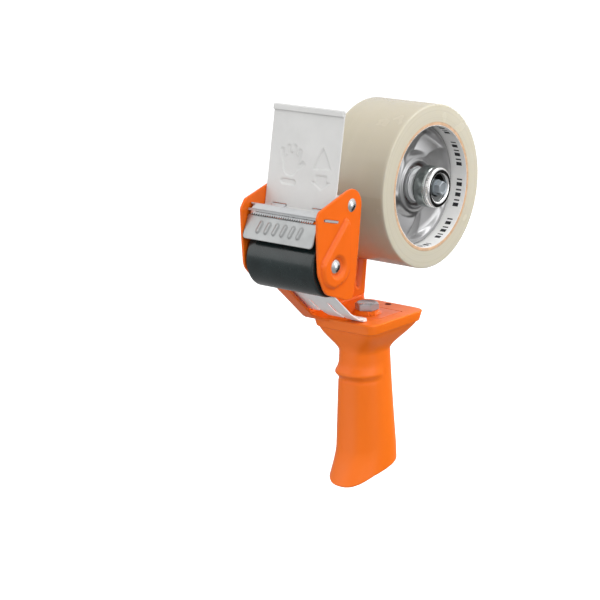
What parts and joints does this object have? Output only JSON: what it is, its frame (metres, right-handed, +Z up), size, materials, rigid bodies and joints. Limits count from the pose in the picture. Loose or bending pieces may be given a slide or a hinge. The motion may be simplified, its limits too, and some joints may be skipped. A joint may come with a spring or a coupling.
{
  "type": "packing tape dispenser",
  "caption": "Hand-held packing-tape dispenser with a pistol grip, rubber roller, sprung blade guard, wiper sheet and a braked hub that carries a roll of clear tape.",
  "frame": {"origin": "middle of the grip, on the handle bolt's axis, 58 mm below the top of the handle's flange", "axes": "+Z up along the handle, -Y towards the cutting head, +X towards the open side with the brake knob"},
  "size_m": [0.0665, 0.1736, 0.2426],
  "materials": {
    "orange_plastic": "moulded, satin sheen",
    "orange_paint": "powder coat, semi-gloss",
    "brass": "knurled",
    "bolt_steel": "zinc plated",
    "rivet_steel": "bright zinc plated",
    "zinc_steel": "galvanised sheet",
    "guard_steel": "galvanised sheet, satin",
    "blade_steel": "ground",
    "spring_steel": "bright",
    "hub_steel": "galvanised, bright",
    "knob_chrome": "bright nickel chrome",
    "black_plastic": "moulded",
    "roller_rubber": "smooth, semi-gloss",
    "nylon": "natural",
    "wiper_plastic": "smooth light grey sheet",
    "red_fibre": "vulcanised fibre",
    "cardboard": "spiral wound paperboard",
    "liner_paper": "printed paper",
    "tape_film": "wound clear film"
  },
  "bodies": {
    "frame": {"handle": "orange_plastic", "handle_insert": "brass", "handle_bolt": "bolt_steel", "frame_plate": "orange_paint", "right_cheek": "orange_paint", "tie_rod": "rivet_steel", "tie_spacer": "zinc_steel", "roller_axle": "rivet_steel", "blade_bracket": "zinc_steel", "wiper_clamp": "zinc_steel", "clamp_rivets": "rivet_steel", "blade": "blade_steel", "guard_pin": "rivet_steel", "guard_spring": "spring_steel", "guide_plate": "spring_steel", "hub_spindle": "bolt_steel", "spindle_nuts": "bolt_steel", "brake_washer": "zinc_steel", "brake_spring": "spring_steel"},
    "roller": {"roller_core": "black_plastic", "roller_sleeve": "roller_rubber", "roller_bushes": "nylon"},
    "guard": {"blade_guard": "guard_steel"},
    "wiper": {"wiper": "wiper_plastic"},
    "hub": {"hub_cup": "hub_steel", "hub_back_disc": "hub_steel", "hub_bush": "nylon", "friction_washer": "red_fibre"},
    "tape_roll": {"tape_core": "cardboard", "core_liner": "liner_paper", "tape_film": "tape_film"},
    "knob_carrier": {"thrust_washer": "zinc_steel"},
    "knob": {"brake_knob": "knob_chrome"}
  },
  "joints": [
    {"name": "roller_spin", "type": "hinge", "parent": "frame", "child": "roller", "pos_m": [0, -0.0679, 0.1035], "axis": [1, 0, 0], "continuous": true},
    {"name": "guard_swing", "type": "hinge", "parent": "frame", "child": "guard", "pos_m": [0, -0.0755, 0.1265], "axis": [1, 0, 0], "range_deg": [0, 14], "stiffness_Nm_per_rad": 0.04, "springref_deg": -22.92, "deforming": ["guard_spring"]},
    {"name": "wiper_flex", "type": "hinge", "parent": "frame", "child": "wiper", "pos_m": [0, -0.067, 0.1332], "axis": [1, 0, 0], "range_deg": [-30, 8], "stiffness_Nm_per_rad": 0.06},
    {"name": "hub_spin", "type": "hinge", "parent": "frame", "child": "hub", "pos_m": [0, 0.034, 0.135], "axis": [1, 0, 0], "continuous": true},
    {"name": "roll_pull", "type": "slide", "parent": "hub", "child": "tape_roll", "axis": [1, 0, 0], "range_m": [0, 0.07]},
    {"name": "knob_travel", "type": "slide", "parent": "frame", "child": "knob_carrier", "axis": [1, 0, 0], "range_m": [-0.00075, 0.003], "deforming": ["brake_spring"]},
    {"name": "knob_turn", "type": "hinge", "parent": "knob_carrier", "child": "knob", "pos_m": [0, 0.034, 0.135], "axis": [1, 0, 0], "range_deg": [-180.5, 720.5]}
  ],
  "couplings": [
    {"joint": "knob_turn", "follows": "knob_travel", "rad_per_m": 4188.8}
  ]
}
